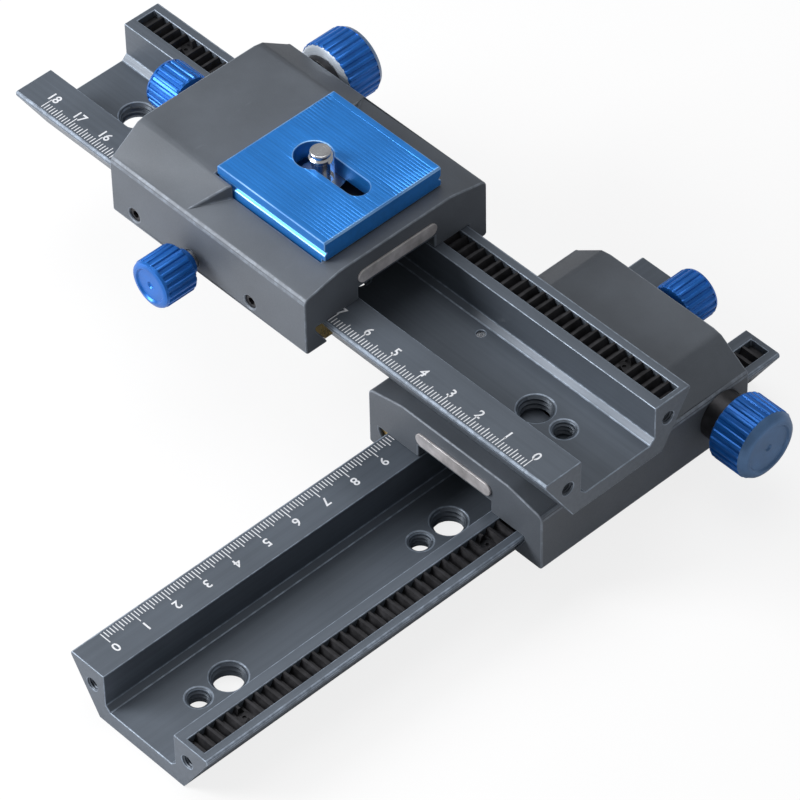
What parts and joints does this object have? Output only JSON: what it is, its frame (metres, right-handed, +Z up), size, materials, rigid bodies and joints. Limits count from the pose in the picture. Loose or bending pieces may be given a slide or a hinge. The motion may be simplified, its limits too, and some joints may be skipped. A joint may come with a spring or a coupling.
{
  "type": "macro focusing rail",
  "caption": "Crossed dovetail focusing rails with rack and pinion drives, knurled knobs, locks and a quick-release camera plate.",
  "frame": {"origin": "on the axis of the lower rail's middle large tripod thread, at the rail's bottom face", "axes": "+Y along the lower rail towards its far end, where the clamp knob is; +X along the upper rail towards its near end; +Z up, out of the camera plate"},
  "size_m": [0.2076, 0.198, 0.075],
  "materials": {
    "rail_anodised": "dark grey anodised extrusion, satin",
    "carriage_paint": "dark grey painted casting, fine texture",
    "blue_anodised": "bright blue anodised, satin",
    "black_steel": "black oxide",
    "bright_steel": "turned, bright",
    "brass": "machined",
    "label_plate": "pale satin, bare"
  },
  "bodies": {
    "lower_rail_set": {"lower_rail": "rail_anodised", "lower_rack": "black_steel", "lower_rack_screws": "black_steel"},
    "cross_stage": {"lower_carriage": "carriage_paint", "lower_gib": "brass", "lower_gib_screws": "black_steel", "lower_nameplate": "label_plate", "lower_drive_bush": "black_steel", "mount_plate": "rail_anodised", "rail_bolts": "black_steel", "locating_pin": "bright_steel", "upper_rail": "rail_anodised", "upper_rack": "black_steel", "upper_rack_screws": "black_steel"},
    "upper_slider": {"upper_carriage": "carriage_paint", "upper_gib": "brass", "upper_gib_screws": "black_steel", "upper_nameplate": "label_plate", "upper_drive_bush": "black_steel", "camera_plate": "blue_anodised"},
    "screw_carrier": {"screw_washer": "bright_steel"},
    "camera_screw_body": {"camera_screw": "bright_steel"},
    "lower_drive": {"lower_drive_shaft": "bright_steel", "lower_pinion": "bright_steel", "lower_drive_knob": "blue_anodised", "lower_drive_grub": "black_steel"},
    "lower_lock_plunger": {"lower_lock_pad": "brass"},
    "lower_lock": {"lower_lock_screw": "bright_steel", "lower_lock_knob": "blue_anodised"},
    "lower_jaw": {"lower_clamp_jaw": "black_steel"},
    "lower_clamp": {"lower_clamp_screw": "bright_steel", "lower_clamp_knob": "blue_anodised"},
    "upper_drive": {"upper_drive_shaft": "bright_steel", "upper_pinion": "bright_steel", "upper_drive_knob": "blue_anodised", "upper_drive_grub": "black_steel"},
    "upper_lock_plunger": {"upper_lock_pad": "brass"},
    "upper_lock": {"upper_lock_screw": "bright_steel", "upper_lock_knob": "blue_anodised"},
    "upper_jaw": {"upper_clamp_jaw": "black_steel"},
    "upper_clamp": {"upper_clamp_screw": "bright_steel", "upper_clamp_knob": "blue_anodised"}
  },
  "joints": [
    {"name": "lower_slide", "type": "slide", "parent": "lower_rail_set", "child": "cross_stage", "axis": [0, 1, 0], "range_m": [-0.106, 0.0185]},
    {"name": "lower_drive_turn", "type": "hinge", "parent": "cross_stage", "child": "lower_drive", "pos_m": [0.038, 0.065, 0.0209], "axis": [1, 0, 0], "range_deg": [-213, 1216]},
    {"name": "lower_lock_travel", "type": "slide", "parent": "cross_stage", "child": "lower_lock_plunger", "axis": [-1, 0, 0], "range_m": [0, 0.0008]},
    {"name": "lower_lock_turn", "type": "hinge", "parent": "lower_lock_plunger", "child": "lower_lock", "pos_m": [-0.038, 0.045, 0.0135], "axis": [-1, 0, 0], "range_deg": [-2, 362]},
    {"name": "lower_jaw_travel", "type": "slide", "parent": "cross_stage", "child": "lower_jaw", "axis": [0, 1, 0], "range_m": [0, 0.0022]},
    {"name": "lower_clamp_turn", "type": "hinge", "parent": "lower_jaw", "child": "lower_clamp", "pos_m": [0, 0.082, 0.0252], "axis": [0, 1, 0], "range_deg": [-2, 992]},
    {"name": "upper_slide", "type": "slide", "parent": "cross_stage", "child": "upper_slider", "axis": [1, 0, 0], "range_m": [-0.0455, 0.079]},
    {"name": "upper_drive_turn", "type": "hinge", "parent": "upper_slider", "child": "upper_drive", "pos_m": [-0.1025, 0.0583, 0.0549], "axis": [0, 1, 0], "range_deg": [-523, 907]},
    {"name": "upper_lock_travel", "type": "slide", "parent": "upper_slider", "child": "upper_lock_plunger", "axis": [0, -1, 0], "range_m": [0, 0.0008]},
    {"name": "upper_lock_turn", "type": "hinge", "parent": "upper_lock_plunger", "child": "upper_lock", "pos_m": [-0.0825, -0.0177, 0.0475], "axis": [0, -1, 0], "range_deg": [-2, 362]},
    {"name": "upper_jaw_travel", "type": "slide", "parent": "upper_slider", "child": "upper_jaw", "axis": [-1, 0, 0], "range_m": [0, 0.0022]},
    {"name": "upper_clamp_turn", "type": "hinge", "parent": "upper_jaw", "child": "upper_clamp", "pos_m": [-0.1195, 0.0203, 0.0592], "axis": [-1, 0, 0], "range_deg": [-2, 992]},
    {"name": "camera_screw_slide", "type": "slide", "parent": "upper_slider", "child": "screw_carrier", "axis": [1, 0, 0], "range_m": [-0.0027, 0.0133]},
    {"name": "camera_screw_turn", "type": "hinge", "parent": "screw_carrier", "child": "camera_screw_body", "pos_m": [-0.0672, 0.0203, 0.069], "axis": [0, 0, 1], "continuous": true}
  ],
  "couplings": [
    {"joint": "lower_drive_turn", "follows": "lower_slide", "rad_per_m": -200},
    {"joint": "lower_lock_turn", "follows": "lower_lock_travel", "rad_per_m": 7854},
    {"joint": "lower_clamp_turn", "follows": "lower_jaw_travel", "rad_per_m": 7854},
    {"joint": "upper_drive_turn", "follows": "upper_slide", "rad_per_m": 200},
    {"joint": "upper_lock_turn", "follows": "upper_lock_travel", "rad_per_m": 7854},
    {"joint": "upper_clamp_turn", "follows": "upper_jaw_travel", "rad_per_m": 7854}
  ]
}
